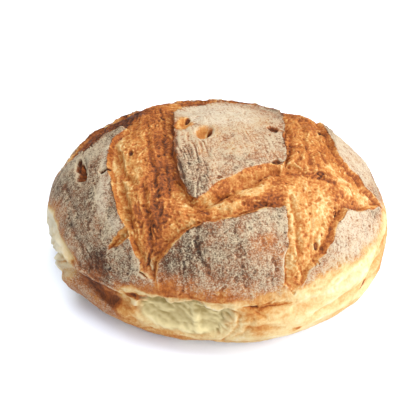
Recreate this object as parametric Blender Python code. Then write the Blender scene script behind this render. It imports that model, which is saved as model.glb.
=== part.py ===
"""A round sourdough loaf of about a kilogram, scored with a hash of slashes that tore open in the oven.

The loaf is one solid. Its skin is cut into nine plates that stand proud of the torn floors between them,
the flank below the skin carries the stretched folds, the burnt recess and the patch torn down to the crumb,
and the underside is flat. Run with: blender --background --python part.py
"""

import math
from collections import namedtuple

import bmesh
import bpy
import numpy as np
from mathutils import Vector, noise

MM = 0.001

# Driving sizes of the whole loaf
LOAF_WIDTH = 260 * MM
LOAF_DEPTH = 212 * MM
LOAF_HEIGHT = 117 * MM
BELLY_HEIGHT = 31 * MM
FOOT_SHARE = 0.74
# Where the foot spreads or draws in: bearing and half width in degrees, and by how much of the belly's radius
FOOT_SPREADS = [(-119, 9, 0.045), (-95, 7, -0.03), (-78, 9, 0.04), (-52, 8, -0.03), (-34, 7, 0.07),
                (40, 16, 0.02), (110, 18, -0.015), (150, 12, 0.02)]
CROWN_ROUNDNESS = 2.2
CROWN_FULLNESS = 2.38
OVAL_SKEW = -0.025
EGG_SHARE = 0.009

# Mesh: cuts along each side of the starting cube, how its polar angle is shared out, and the finished count
CUBE_CUTS = 127
CROWN_ANGLE = 112.0
FLANK_ANGLE = 146.0
SOLID_TRIANGLES = 10600
SOFTEN_ROUNDS = 3
FLAT_WITHIN = 0.02 * MM
FOOT_BLEND = 10 * MM

# Torn sides of the plates
SKIN_BOTTOM = 44 * MM
SKIN_BLEND = 6 * MM
FULL_DROP_HEIGHT = 78 * MM
TIP_DROP_SHARE = 0.25
LIP_SHARE = 0.33
LIP_WIDTH = 6 * MM
WIDEST_LIPPED_RUN = 5 * MM
BULGE_SHARE = 0.85
BULGE_WIDTH = 8 * MM
SIDE_BLEND_POWER = 4
CHAIN_STEP = 5

# Relief
FORM_REACH = 1.35
SWELL_HEIGHT = 1.5 * MM
SWELL_LENGTH = 42 * MM
STRAND_HEIGHT = 1.6 * MM
STRAND_WIDTH = 9 * MM
STRAND_LENGTH = 34 * MM
STRAND_FADE = 4 * MM
STRAND_ROUGHNESS = 0.8
STRAND_DETAIL = 2
MIDDLE_OF_CUTS = 8 * MM
HALF_CROSS_CUT = 38 * MM
CROSS_CUT_BLEND = 14 * MM

CRUST_COLOUR = (0.52, 0.27, 0.11, 1.0)
CRUST_ROUGHNESS = 0.85

# A torn side is one stretch of a plate's edge: its points in plan in millimetres, how far the torn floor
# lies below the skin there, and how wide the slope down to that floor is.
TornSide = namedtuple("TornSide", "name points drop run")

OUTER_SIDES = [
    TornSide(
        "front_left",
        [(-41, -95), (-47, -91.5), (-53, -88), (-56, -81), (-60, -73), (-68, -77), (-75, -77)],
        3.0, 2.0,
    ),
    TornSide(
        "left",
        [(-75, -77), (-71, -71), (-63, -67), (-66, -60), (-70, -48), (-75, -32), (-78, -15), (-78, 5),
         (-76, 14), (-67, 24)],
        3.0, 2.5,
    ),
    TornSide(
        "left_rear",
        [(-67, 24), (-71, 29), (-78, 27), (-84, 20), (-92, 14), (-102, 14), (-112, 15), (-121, 19)],
        3.5, 2.0,
    ),
    TornSide(
        "rear_left",
        [(-121, 19), (-112, 38), (-95, 55), (-80, 65), (-66, 70), (-61, 79), (-57, 88), (-50, 95)],
        3.5, 2.0,
    ),
    TornSide(
        "rear",
        [(-50, 95), (-42, 88), (-36, 79), (-30, 71), (-5, 73), (20, 73), (40, 69), (46, 77), (52, 89)],
        4.0, 2.0,
    ),
    TornSide("rear_right", [(52, 89), (61, 82), (68, 74), (76, 69), (88, 64), (98, 57), (107, 48)], 3.5, 2.0),
    TornSide(
        "right",
        [(107, 48), (96, 48), (84, 52), (79, 48), (82, 35), (85, 20), (87, 5), (90, -3), (96, -9),
         (103, -9), (107, -16), (114, -17), (122, -18)],
        4.0, 2.0,
    ),
    TornSide(
        "front_right",
        [(122, -18), (115, -27), (108, -36), (101, -43), (92, -46), (87, -54), (84, -60), (80, -69),
         (75, -78), (68, -85), (62, -91), (58, -95)],
        4.0, 2.0,
    ),
    TornSide("front_right_end", [(58, -95), (52, -97.5), (45, -97.5)], 1.0, 2.0),
    TornSide("front_right_side", [(45, -97.5), (45.5, -88), (47, -75), (46, -60)], 4.5, 2.0),
    TornSide(
        "front",
        [(46, -60), (35, -63.5), (25, -67), (12, -71), (0, -73), (-10, -74), (-20, -77), (-28, -82),
         (-35, -86.5), (-41, -92), (-41, -95)],
        4.5, 4.0,
    ),
]
CENTRE_SIDES = [
    TornSide(
        "centre_left",
        [(-31, 38), (-31, 20), (-30, 5), (-29, -10), (-27, -25), (-24, -40), (-19, -53), (-13, -57)],
        5.5, 2.0,
    ),
    TornSide("centre_front", [(-13, -57), (-8, -53), (0, -46), (10, -40), (20, -33.5), (30, -28), (38, -24.5),
                              (45, -26)], 8.0, 11.0),
    TornSide("centre_right", [(45, -26), (48, -20), (48, 0), (49, 20), (49, 42), (48, 58)], 5.0, 2.0),
    TornSide("centre_rear", [(48, 58), (20, 58), (2, 54), (-15, 47), (-26, 43), (-31, 38)], 4.0, 2.0),
]

# The floor of the right cut tore twice: behind this line it stands higher
LEDGE_LINE = [(49, -21), (56, -23), (63, -28), (70, -26), (78, -30), (88, -28), (100, -25)]
LEDGE_STEP = 3.2 * MM
LEDGE_RUN = 2.0 * MM
LEDGE_START = 3 * MM
LEDGE_END = 10 * MM
LEDGE_TOP = 8 * MM
LEDGE_BACK = 40 * MM

# Hollows in the crown: place in plan, length, width (mm), bearing of the long way (degrees), depth (mm).
# A swell is one with its depth below 0.
Hollow = namedtuple("Hollow", "name x y length width turn depth")
HOLLOWS = [
    Hollow("dimple", -9, 6, 15, 11, 60, 5.0),
    Hollow("burst_bubble", -24, 17, 14, 9, 80, 2.5),
    Hollow("slit", -97, -8, 26, 6.5, 95, 4.5),
    Hollow("floor_pit", -70, -13, 22, 7, 100, 3.0),
    Hollow("left_fissure", -64, -50, 34, 6, 105, 2.5),
    Hollow("centre_trough", 3, -56, 26, 9, 5, 3.5),
    Hollow("rear_left_swell", -40, 60, 38, 26, 20, -2.2),
    Hollow("rear_right_swell", 72, 54, 34, 26, -20, -2.2),
]

# Forms of the flank, by bearing (degrees, -90 is the front) and height (mm): half widths and depth
FlankForm = namedtuple("FlankForm", "name bearing height half_bearing half_height depth slant")
FLANK_FORMS = [
    FlankForm("crumb_window", -104, 36, 24, 17, -3.0, 0.0),
    FlankForm("burnt_recess", -137, 38, 14, 8, -5.0, 0.0),
    FlankForm("recess_lip", -138, 50, 17, 5, 2.6, 0.0),
    FlankForm("left_fold", -168, 34, 7, 26, -3.0, 0.15),
    FlankForm("left_roll", -157, 34, 7, 22, 3.2, 0.15),
    FlankForm("front_roll", -68, 30, 14, 14, 1.8, 0.0),
    FlankForm("front_crease", -72, 49, 11, 2.6, -2.2, -0.2),
    FlankForm("right_fold", -28, 36, 5, 22, -1.8, -0.35),
    FlankForm("right_roll", -40, 38, 8, 20, 1.8, -0.35),
    FlankForm("side_fold", 12, 34, 6, 22, -1.8, -0.25),
    FlankForm("right_flat", 6, 62, 9, 12, -2.2, 0.0),
    FlankForm("left_flat", 163, 78, 16, 16, -1.4, 0.0),
    FlankForm("rear_fold", 74, 34, 9, 18, -2.4, 0.2),
    FlankForm("rear_roll", 100, 36, 14, 16, 2.2, 0.0),
    FlankForm("rear_recess", 142, 32, 14, 10, -3.0, 0.0),
]
SKIRT_HEIGHT = 56 * MM
SKIRT_WAVE = 5 * MM
SKIRT_STEP = 1.6 * MM
SKIRT_WIDTH = 6 * MM


def smooth(share):
    """0 below 0, 1 above 1, with a smooth rise between."""
    share = np.clip(share, 0.0, 1.0)
    return share * share * (3.0 - 2.0 * share)


def belly_radius(bearing):
    """The loaf's radius in plan at its widest level."""
    mean = (LOAF_WIDTH + LOAF_DEPTH) / 4
    oval = (LOAF_WIDTH - LOAF_DEPTH) / (LOAF_WIDTH + LOAF_DEPTH)
    uneven = OVAL_SKEW * np.sin(2 * bearing) + EGG_SHARE * np.sin(3 * bearing)
    return mean * (1 + oval * np.cos(2 * bearing) + uneven)


def crown_height(x, y):
    """Height of the smooth crown over a place in plan."""
    share = np.minimum(np.hypot(x, y) / belly_radius(np.arctan2(y, x)), 1.0)
    rise = (1 - share**CROWN_ROUNDNESS) ** (1 / CROWN_FULLNESS)
    return BELLY_HEIGHT + (LOAF_HEIGHT - BELLY_HEIGHT) * rise


def foot_share(bearing):
    """The foot's radius as a share of the belly's: the dough spread further in some places than in others."""
    share = np.full(np.shape(bearing), FOOT_SHARE)
    for place, half_width, more in FOOT_SPREADS:
        off = (np.degrees(bearing) - place + 180) % 360 - 180
        share += more * np.exp(-((off / half_width) ** 2))
    return share


def section(turns, foot):
    """Radius share and height round the section: 0 is the top, 1 the belly, 2 the foot, 3 the middle below."""
    crown = np.clip(turns, 0, 1) * math.pi / 2
    flank = np.clip(turns - 1, 0, 1) * math.pi / 2
    below = np.clip(turns - 2, 0, 1)
    share = np.sin(crown) ** (2 / CROWN_ROUNDNESS) - (1 - foot) * (1 - np.cos(flank)) - foot * below
    above_belly = (LOAF_HEIGHT - BELLY_HEIGHT) * np.cos(crown) ** (2 / CROWN_FULLNESS)
    return share, above_belly + BELLY_HEIGHT * (1 - np.sin(flank))


def place_on_loaf(directions):
    """Carries points of a unit ball to the loaf, evenly along its section."""
    bearing = np.arctan2(directions[:, 1], directions[:, 0])
    polar = np.degrees(np.arccos(np.clip(directions[:, 2], -1, 1)))
    steps = np.linspace(0, 3, 601)
    share, height = section(steps, FOOT_SHARE)
    run = np.hypot(np.diff(share * (LOAF_WIDTH + LOAF_DEPTH) / 4), np.diff(height))
    length = np.concatenate([[0], np.cumsum(run)])
    belly, foot = np.interp([1, 2], steps, length)
    wanted = np.interp(polar, [0, CROWN_ANGLE, FLANK_ANGLE, 180], [0, belly, foot, length[-1]])
    share, height = section(np.interp(wanted, length, steps), foot_share(bearing))
    radius = belly_radius(bearing) * share
    return np.stack([radius * np.cos(bearing), radius * np.sin(bearing), height], axis=1)


def dough_ball():
    """The smooth loaf before the slashes: a cube cut into a grid, rounded, and carried to the loaf's form."""
    bm = bmesh.new()
    bmesh.ops.create_cube(bm, size=2)
    bmesh.ops.subdivide_edges(bm, edges=bm.edges[:], cuts=CUBE_CUTS, use_grid_fill=True)
    cube = np.array([vert.co for vert in bm.verts])
    ball = np.tan(cube * math.pi / 4)
    ball /= np.linalg.norm(ball, axis=1)[:, None]
    for vert, place in zip(bm.verts, place_on_loaf(ball)):
        vert.co = place
    return bm


def on_crown(points):
    """A chain of points given in plan in millimetres, split into short steps and lifted to the smooth crown."""
    plan = [np.array(points[:1], float)]
    for start, end in zip(points[:-1], points[1:]):
        count = math.ceil(math.dist(start, end) / CHAIN_STEP)
        plan.append(np.linspace(start, end, count + 1)[1:])
    plan = np.concatenate(plan) * MM
    return np.column_stack([plan, crown_height(plan[:, 0], plan[:, 1])])


def distance_to(points, line):
    """For each point, its distance to a chain of points."""
    best = np.full(len(points), np.inf)
    for start, end in zip(line[:-1], line[1:]):
        along = end - start
        share = np.clip((points - start) @ along / (along @ along), 0, 1)
        best = np.minimum(best, np.linalg.norm(points - start - share[:, None] * along, axis=1))
    return best


def inside_loop(points, loop):
    """Whether each point lies inside a closed loop, both seen in plan."""
    inside = np.zeros(len(points), bool)
    x, y = points[:, 0], points[:, 1]
    for (x0, y0), (x1, y1) in zip(loop, loop[1:] + loop[:1]):
        if y0 == y1:
            continue
        crosses = ((y0 > y) != (y1 > y)) & (x < (x1 - x0) * (y - y0) / (y1 - y0) + x0)
        inside ^= crosses
    return inside


def loop_of(sides):
    """The closed loop in plan, in metres, that a ring of torn sides makes."""
    return [(x * MM, y * MM) for side in sides for x, y in side.points[:-1]]


def in_open_cut(points):
    """Whether each point is on a torn floor: inside the outer plates' ring and off the centre plate."""
    on_top = points[:, 2] > SKIN_BOTTOM
    return on_top & inside_loop(points, loop_of(OUTER_SIDES)) & ~inside_loop(points, loop_of(CENTRE_SIDES))


def torn_edge(points):
    """For each point: distance to the nearest torn side, the floor's drop and the slope's run there."""
    nearest = np.full(len(points), np.inf)
    drop = np.zeros(len(points))
    run = np.zeros(len(points))
    total = np.zeros(len(points))
    for side in OUTER_SIDES + CENTRE_SIDES:
        distance = distance_to(points, on_crown(side.points))
        weight = 1 / (distance + MM) ** SIDE_BLEND_POWER
        nearest = np.minimum(nearest, distance)
        drop += weight * side.drop * MM
        run += weight * side.run * MM
        total += weight
    return nearest, drop / total, run / total


def cut_relief(points, opened, distance, drop, run):
    """Height of the torn floors below the skin, and of the plates' lifted lips above it."""
    height_share = (points[:, 2] - SKIN_BOTTOM) / (FULL_DROP_HEIGHT - SKIN_BOTTOM)
    taper = TIP_DROP_SHARE + (1 - TIP_DROP_SHARE) * smooth(height_share)
    fall = smooth(distance / run)
    bulge = BULGE_SHARE * (1 - np.exp(-np.maximum(distance - run, 0) / BULGE_WIDTH))
    floor = -drop * taper * fall * (1 - bulge)
    lip = LIP_SHARE * drop * taper * np.exp(-distance / LIP_WIDTH) * (run < WIDEST_LIPPED_RUN)
    return np.where(opened, floor + lip * (1 - fall), lip)


def ledge_relief(points, opened):
    """The step in the right cut's floor, higher behind its torn line."""
    line = np.array(LEDGE_LINE) * MM
    line_y = np.interp(points[:, 0], line[:, 0], line[:, 1])
    behind = points[:, 1] - line_y
    starts = smooth((points[:, 0] - line[0, 0]) / LEDGE_START)
    ends = smooth((line[-1, 0] - points[:, 0]) / LEDGE_END)
    slopes_off = 1 - smooth((behind - LEDGE_TOP) / LEDGE_BACK)
    return LEDGE_STEP * smooth(behind / LEDGE_RUN) * starts * ends * slopes_off * opened


def hollow_relief(points):
    """Dimples, burst bubbles and fissures of the crown."""
    depth = np.zeros(len(points))
    for hollow in HOLLOWS:
        turn = math.radians(hollow.turn)
        dx, dy = points[:, 0] - hollow.x * MM, points[:, 1] - hollow.y * MM
        along = (dx * math.cos(turn) + dy * math.sin(turn)) / (hollow.length / 2 * MM)
        across = (dy * math.cos(turn) - dx * math.sin(turn)) / (hollow.width / 2 * MM)
        depth -= hollow.depth * MM * smooth(FORM_REACH - np.hypot(along, across))
    return depth


def flank_relief(points):
    """Folds, recess and torn crumb patch of the flank, and the skirt where the skin ends."""
    bearing = np.degrees(np.arctan2(points[:, 1], points[:, 0]))
    height = points[:, 2] / MM
    relief = np.zeros(len(points))
    for form in FLANK_FORMS:
        off = (bearing - form.bearing + form.slant * (height - form.height) + 180) % 360 - 180
        reach = np.hypot(off / form.half_bearing, (height - form.height) / form.half_height)
        relief += form.depth * MM * smooth(FORM_REACH - reach)
    return relief + skirt_relief(points, np.radians(bearing))


def skirt_relief(points, turn):
    """The low wavy bead round the loaf where the skin of the crown ends."""
    level = SKIRT_HEIGHT + SKIRT_WAVE * (np.sin(2 * turn + 0.6) + 0.5 * np.sin(5 * turn))
    strength = SKIRT_STEP * (0.6 + 0.4 * np.sin(3 * turn + 1.2))
    return strength * np.exp(-(((points[:, 2] - level) / SKIRT_WIDTH) ** 2))


def strand_relief(points, opened, distance):
    """The strands along which the floors tore: down the two long cuts, and across between the two."""
    down_cut = smooth((np.abs(points[:, 0] - MIDDLE_OF_CUTS) - HALF_CROSS_CUT) / CROSS_CUT_BLEND)
    narrow = np.where(down_cut > 0.5, STRAND_WIDTH, STRAND_LENGTH)
    strands = np.zeros(len(points))
    for i in np.flatnonzero(opened):
        x, y, z = points[i]
        over = STRAND_WIDTH + STRAND_LENGTH - narrow[i]
        place = (x / narrow[i], y / over, z / STRAND_LENGTH)
        strands[i] = noise.fractal(place, STRAND_ROUGHNESS, 2.0, STRAND_DETAIL)
    return STRAND_HEIGHT * strands * smooth(distance / STRAND_FADE) * np.abs(2 * down_cut - 1)


def swell_relief(points):
    """The slow swell of the dough."""
    return SWELL_HEIGHT * np.array([noise.noise(Vector(point) / SWELL_LENGTH) for point in points])


def raise_relief(bm):
    """Moves each point along its normal by the relief there, and keeps the underside flat."""
    bm.normal_update()
    points = np.array([vert.co for vert in bm.verts])
    normals = np.array([vert.normal for vert in bm.verts])
    relief = flank_relief(points) + swell_relief(points)
    on_top = points[:, 2] > SKIN_BOTTOM
    top = points[on_top]
    opened = in_open_cut(top)
    distance, drop, run = torn_edge(top)
    crown = cut_relief(top, opened, distance, drop, run) + ledge_relief(top, opened)
    crown += hollow_relief(top) + strand_relief(top, opened, distance)
    relief[on_top] += crown * smooth((top[:, 2] - SKIN_BOTTOM) / SKIN_BLEND)
    relief *= smooth(points[:, 2] / FOOT_BLEND)
    moved = points + normals * relief[:, None]
    moved[:, 2] = np.where(points[:, 2] < FLAT_WITHIN, 0, np.maximum(moved[:, 2], FLAT_WITHIN))
    for vert, place in zip(bm.verts, moved):
        vert.co = place


def centre_over_origin(bm):
    """Puts the middle of the loaf's box over the origin."""
    points = np.array([vert.co for vert in bm.verts])
    middle = (points.min(axis=0) + points.max(axis=0)) / 2
    bmesh.ops.translate(bm, verts=bm.verts[:], vec=(-middle[0], -middle[1], 0))


def crust_material():
    """Baked crust: a dull golden brown."""
    material = bpy.data.materials.new("baked_crust")
    material.use_nodes = True
    shader = material.node_tree.nodes["Principled BSDF"]
    shader.inputs["Base Color"].default_value = CRUST_COLOUR
    shader.inputs["Roughness"].default_value = CRUST_ROUGHNESS
    shader.inputs["Metallic"].default_value = 0.0
    return material


def make_loaf():
    bm = dough_ball()
    raise_relief(bm)
    centre_over_origin(bm)
    mesh = bpy.data.meshes.new("loaf")
    bm.to_mesh(mesh)
    bm.free()
    mesh.shade_smooth()
    mesh.materials.append(crust_material())
    loaf = bpy.data.objects.new("loaf", mesh)
    bpy.context.scene.collection.objects.link(loaf)
    softening = loaf.modifiers.new("softening", "SMOOTH")
    softening.factor = 0.5
    softening.iterations = SOFTEN_ROUNDS
    thinning = loaf.modifiers.new("thinning", "DECIMATE")
    thinning.ratio = SOLID_TRIANGLES / (2 * len(mesh.polygons))
    thinning.use_collapse_triangulate = True


for leftover in list(bpy.data.objects):
    bpy.data.objects.remove(leftover)
make_loaf()
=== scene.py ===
"""Looks of a round sourdough loaf, scored with a hash of slashes that tore open in the oven.

The loaf is modelled again on the solid's own sizes, finely enough for strands, pits, wrinkles and crumb.
How brown each place is, how much flour lies on it and where it is torn to the crumb are painted on its
points, and one crust material turns them into colour, grain and gloss.
"""

import math
from collections import namedtuple
from functools import partial

import bpy
import numpy as np
from mathutils import Matrix, Vector, noise


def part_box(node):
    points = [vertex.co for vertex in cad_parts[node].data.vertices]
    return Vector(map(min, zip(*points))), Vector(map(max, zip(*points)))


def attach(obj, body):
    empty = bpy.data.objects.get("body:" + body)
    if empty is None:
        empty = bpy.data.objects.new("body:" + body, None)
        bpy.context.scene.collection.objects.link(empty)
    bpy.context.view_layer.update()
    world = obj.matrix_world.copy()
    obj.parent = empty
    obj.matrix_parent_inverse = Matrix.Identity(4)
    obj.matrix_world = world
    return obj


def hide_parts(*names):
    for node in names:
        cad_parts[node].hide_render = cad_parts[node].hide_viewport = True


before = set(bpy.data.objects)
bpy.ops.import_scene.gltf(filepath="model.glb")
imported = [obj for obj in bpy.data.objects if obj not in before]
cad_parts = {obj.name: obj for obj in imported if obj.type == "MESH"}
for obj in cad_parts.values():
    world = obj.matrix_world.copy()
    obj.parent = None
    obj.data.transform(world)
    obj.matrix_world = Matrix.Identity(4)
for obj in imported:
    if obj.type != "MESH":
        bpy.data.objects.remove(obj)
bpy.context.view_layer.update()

MM = 0.001

# Driving sizes of the whole loaf
LOAF_WIDTH = 260 * MM
LOAF_DEPTH = 212 * MM
LOAF_HEIGHT = 117 * MM
BELLY_HEIGHT = 31 * MM
FOOT_SHARE = 0.74
# Where the foot spreads or draws in: bearing and half width in degrees, and by how much of the belly's radius
FOOT_SPREADS = [(-119, 9, 0.045), (-95, 7, -0.03), (-78, 9, 0.04), (-52, 8, -0.03), (-34, 7, 0.07),
                (40, 16, 0.02), (110, 18, -0.015), (150, 12, 0.02)]
CROWN_ROUNDNESS = 2.2
CROWN_FULLNESS = 2.38
OVAL_SKEW = -0.025
EGG_SHARE = 0.009

CROWN_ANGLE = 112.0
FLANK_ANGLE = 146.0
FLAT_WITHIN = 0.02 * MM
FOOT_BLEND = 10 * MM

# Torn sides of the plates
SKIN_BOTTOM = 44 * MM
SKIN_BLEND = 6 * MM
FULL_DROP_HEIGHT = 78 * MM
TIP_DROP_SHARE = 0.25
LIP_SHARE = 0.33
LIP_WIDTH = 6 * MM
WIDEST_LIPPED_RUN = 5 * MM
BULGE_SHARE = 0.85
BULGE_WIDTH = 8 * MM
SIDE_BLEND_POWER = 4
CHAIN_STEP = 5

# Relief
FORM_REACH = 1.35
SWELL_HEIGHT = 1.5 * MM
SWELL_LENGTH = 42 * MM
MIDDLE_OF_CUTS = 8 * MM
HALF_CROSS_CUT = 38 * MM
CROSS_CUT_BLEND = 14 * MM

# A torn side is one stretch of a plate's edge: its points in plan in millimetres, how far the torn floor
# lies below the skin there, and how wide the slope down to that floor is.
TornSide = namedtuple("TornSide", "name points drop run")

OUTER_SIDES = [
    TornSide(
        "front_left",
        [(-41, -95), (-47, -91.5), (-53, -88), (-56, -81), (-60, -72.5), (-67, -74), (-76, -73)],
        2.4, 2.0,
    ),
    TornSide(
        "left",
        [(-76, -73), (-71, -69), (-63, -66), (-66, -60), (-70, -48), (-75, -32), (-78, -15), (-78, 5),
         (-76, 14), (-67, 24)],
        3.0, 2.5,
    ),
    TornSide(
        "left_rear",
        [(-67, 24), (-71, 29), (-78, 27), (-84, 20), (-92, 14), (-102, 14), (-112, 15), (-121, 19)],
        3.5, 2.0,
    ),
    TornSide(
        "rear_left",
        [(-121, 19), (-112, 38), (-95, 55), (-80, 65), (-66, 70), (-61, 79), (-57, 88), (-50, 95)],
        3.5, 2.0,
    ),
    TornSide(
        "rear",
        [(-50, 95), (-42, 88), (-36, 79), (-30, 71), (-5, 73), (20, 73), (40, 69), (46, 77), (52, 89)],
        4.0, 2.0,
    ),
    TornSide("rear_right", [(52, 89), (61, 82), (68, 74), (76, 69), (88, 64), (98, 57), (107, 48)], 3.5, 2.0),
    TornSide(
        "right",
        [(107, 48), (96, 48), (84, 52), (79, 48), (82, 35), (85, 20), (87, 5), (90, -3), (96, -9),
         (103, -9), (107, -16), (114, -17), (122, -18)],
        3.0, 3.5,
    ),
    TornSide(
        "front_right",
        [(122, -18), (115, -27), (108, -36), (101, -43), (92, -46), (87, -54), (84, -60), (80, -69),
         (75, -78), (68, -85), (62, -91), (58, -95)],
        3.2, 3.5,
    ),
    TornSide("front_right_end", [(58, -95), (52, -97.5), (45, -97.5)], 1.0, 2.0),
    TornSide("front_right_side", [(45, -97.5), (45.5, -88), (47, -75), (46, -60)], 4.5, 2.0),
    TornSide(
        "front",
        [(46, -60), (35, -63.5), (25, -67), (12, -71), (0, -73), (-10, -74), (-20, -77), (-28, -82),
         (-35, -86.5), (-41, -92), (-41, -95)],
        4.5, 4.0,
    ),
]
CENTRE_SIDES = [
    TornSide(
        "centre_left",
        [(-31, 38), (-31, 20), (-30, 5), (-29, -10), (-27, -25), (-24, -40), (-19, -53), (-13, -57)],
        5.5, 2.0,
    ),
    TornSide("centre_front", [(-13, -57), (-8, -53), (0, -46), (10, -40), (20, -33.5), (30, -28), (38, -24.5),
                              (45, -26)], 8.0, 11.0),
    TornSide("centre_right", [(45, -26), (48, -20), (48, 0), (49, 20), (49, 42), (48, 58)], 5.0, 2.0),
    TornSide("centre_rear", [(48, 58), (20, 58), (2, 54), (-15, 47), (-26, 43), (-31, 38)], 4.0, 2.0),
]

# The floor of the right cut tore twice: behind this line it stands higher
LEDGE_LINE = [(49, -21), (56, -23), (63, -28), (70, -26), (78, -30), (88, -28), (100, -25)]
LEDGE_STEP = 2.2 * MM
LEDGE_RUN = 2.0 * MM
LEDGE_START = 3 * MM
LEDGE_END = 10 * MM
LEDGE_TOP = 8 * MM
LEDGE_BACK = 40 * MM

# Hollows in the crown: place in plan, length, width (mm), bearing of the long way (degrees), depth (mm).
# A swell is one with its depth below 0.
Hollow = namedtuple("Hollow", "name x y length width turn depth")
HOLLOWS = [
    Hollow("dimple", -9, 6, 15, 11, 60, 5.0),
    Hollow("burst_bubble", -24, 17, 14, 9, 80, 2.5),
    Hollow("slit", -97, -8, 26, 6.5, 95, 4.5),
    Hollow("floor_pit", -70, -13, 22, 7, 100, 3.0),
    Hollow("left_fissure", -64, -50, 34, 6, 105, 2.5),
    Hollow("centre_trough", 3, -56, 26, 9, 5, 1.4),
    Hollow("rear_left_swell", -40, 60, 38, 26, 20, -2.2),
    Hollow("rear_right_swell", 72, 54, 34, 26, -20, -2.2),
]

# Forms of the flank, by bearing (degrees, -90 is the front) and height (mm): half widths and depth
FlankForm = namedtuple("FlankForm", "name bearing height half_bearing half_height depth slant")
FLANK_FORMS = [
    FlankForm("crumb_window", -104, 36, 24, 17, -3.0, 0.0),
    FlankForm("burnt_recess", -137, 38, 14, 8, -4.0, 0.0),
    FlankForm("recess_lip", -138, 50, 17, 5, 2.6, 0.0),
    FlankForm("left_fold", -168, 34, 7, 26, -3.0, 0.15),
    FlankForm("left_roll", -157, 34, 7, 22, 3.2, 0.15),
    FlankForm("front_roll", -68, 30, 14, 14, 1.8, 0.0),
    FlankForm("front_crease", -72, 49, 11, 2.6, -1.0, -0.2),
    FlankForm("right_fold", -28, 36, 5, 22, -1.8, -0.35),
    FlankForm("right_roll", -40, 38, 8, 20, 1.8, -0.35),
    FlankForm("side_fold", 12, 34, 6, 22, -1.8, -0.25),
    FlankForm("right_flat", 6, 62, 9, 12, -2.2, 0.0),
    FlankForm("left_flat", 163, 78, 16, 16, -1.4, 0.0),
    FlankForm("rear_fold", 74, 34, 9, 18, -2.4, 0.2),
    FlankForm("rear_roll", 100, 36, 14, 16, 2.2, 0.0),
    FlankForm("rear_recess", 142, 32, 14, 10, -3.0, 0.0),
]
SKIRT_HEIGHT = 56 * MM
SKIRT_WAVE = 5 * MM
SKIRT_STEP = 1.6 * MM
SKIRT_WIDTH = 6 * MM

# Fine mesh: how often the starting cube is cut, and how many triangles the finished loaf keeps
CUBE_ROUNDS = 2
CUTS_EACH_ROUND = 15
LOAF_TRIANGLES = 190000

# Ragged skin: how far the torn edges wander, at two sizes
RAGGED = [(8 * MM, 1.2 * MM), (2.6 * MM, 0.3 * MM)]
EAR_REACH = 1.1 * MM
EAR_WIDTH = 2.5 * MM

EAR_FROM = 60 * MM
EAR_BLEND = 20 * MM

# Creases and cracks: points in plan (mm), half width and depth (mm)
CREASE_REACH = 5
LEAST_CREASE_WIDTH = 0.7
CREASE_WIDENING = 0.6
Crease = namedtuple("Crease", "name points width depth")
CREASES = [
    Crease("left_moat", [(-74, 2), (-72, -6), (-70, -18), (-66, -27), (-60, -36)], 1.8, 2.6),
    Crease("left_moat_low", [(-67, -40), (-65, -50), (-62, -60), (-57, -70)], 1.5, 2.0),
    Crease("left_tip", [(-57, -76), (-52, -85), (-45, -92)], 1.3, 1.5),
    Crease("centre_foot", [(-30, 20), (-28, -8), (-25, -26), (-22, -42), (-17, -54), (-11, -59)], 1.4, 2.0),
    Crease("inner_tear", [(-52, 30), (-50, 8), (-47, -14), (-44, -34), (-41, -52)], 1.2, 1.2),
    Crease("brown_tear", [(-40, 34), (-38, 10), (-37, -14), (-34, -40), (-33, -60)], 1.2, 1.3),
    Crease("low_tear", [(-52, -42), (-49, -58), (-47, -72), (-44, -84)], 1.3, 1.5),
    Crease("under_slope", [(8, -52), (16, -52), (26, -50), (36, -47), (44, -37)], 1.3, 0.8),
    Crease("over_front", [(14, -64), (24, -61), (34, -59), (44, -57)], 1.4, 1.2),
    Crease("right_moat", [(52, -52), (54, -60), (56, -68), (55, -76), (57, -84)], 1.4, 2.0),
    Crease("right_moat_high", [(51, -18), (53, -4), (54, 12), (53, 30)], 1.3, 1.6),
    Crease("right_strand", [(66, -36), (64, -50), (66, -64), (64, -78)], 1.3, 1.2),
    Crease("right_strand_low", [(78, -40), (76, -54), (72, -66), (67, -76)], 1.4, 1.5),
    Crease("high_strand", [(66, -18), (64, 4), (66, 26), (64, 44)], 1.3, 1.2),
    Crease("high_strand_right", [(77, -14), (76, 6), (74, 26), (72, 42)], 1.3, 1.3),
    Crease("front_plate_fold", [(-13, -76), (-14, -83), (-12, -88), (-9, -93), (-6, -97)], 1.3, 1.3),
    Crease("front_plate_wrinkle", [(12, -78), (15, -84), (14, -91)], 1.2, 0.7),
    Crease("left_plate_fold", [(-104, -45), (-98, -56), (-93, -65), (-88, -72)], 1.8, 1.4),
    Crease("left_plate_wrinkle", [(-110, -12), (-106, -28), (-98, -44)], 1.6, 0.8),
    Crease("right_plate_wrinkle", [(104, -48), (98, -58), (90, -68)], 1.6, 0.8),
    Crease("rear_tear_left", [(-100, 28), (-86, 40), (-72, 50), (-56, 56)], 1.6, 2.0),
    Crease("rear_tear", [(-20, 64), (4, 65), (28, 64)], 1.5, 1.8),
]

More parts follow.
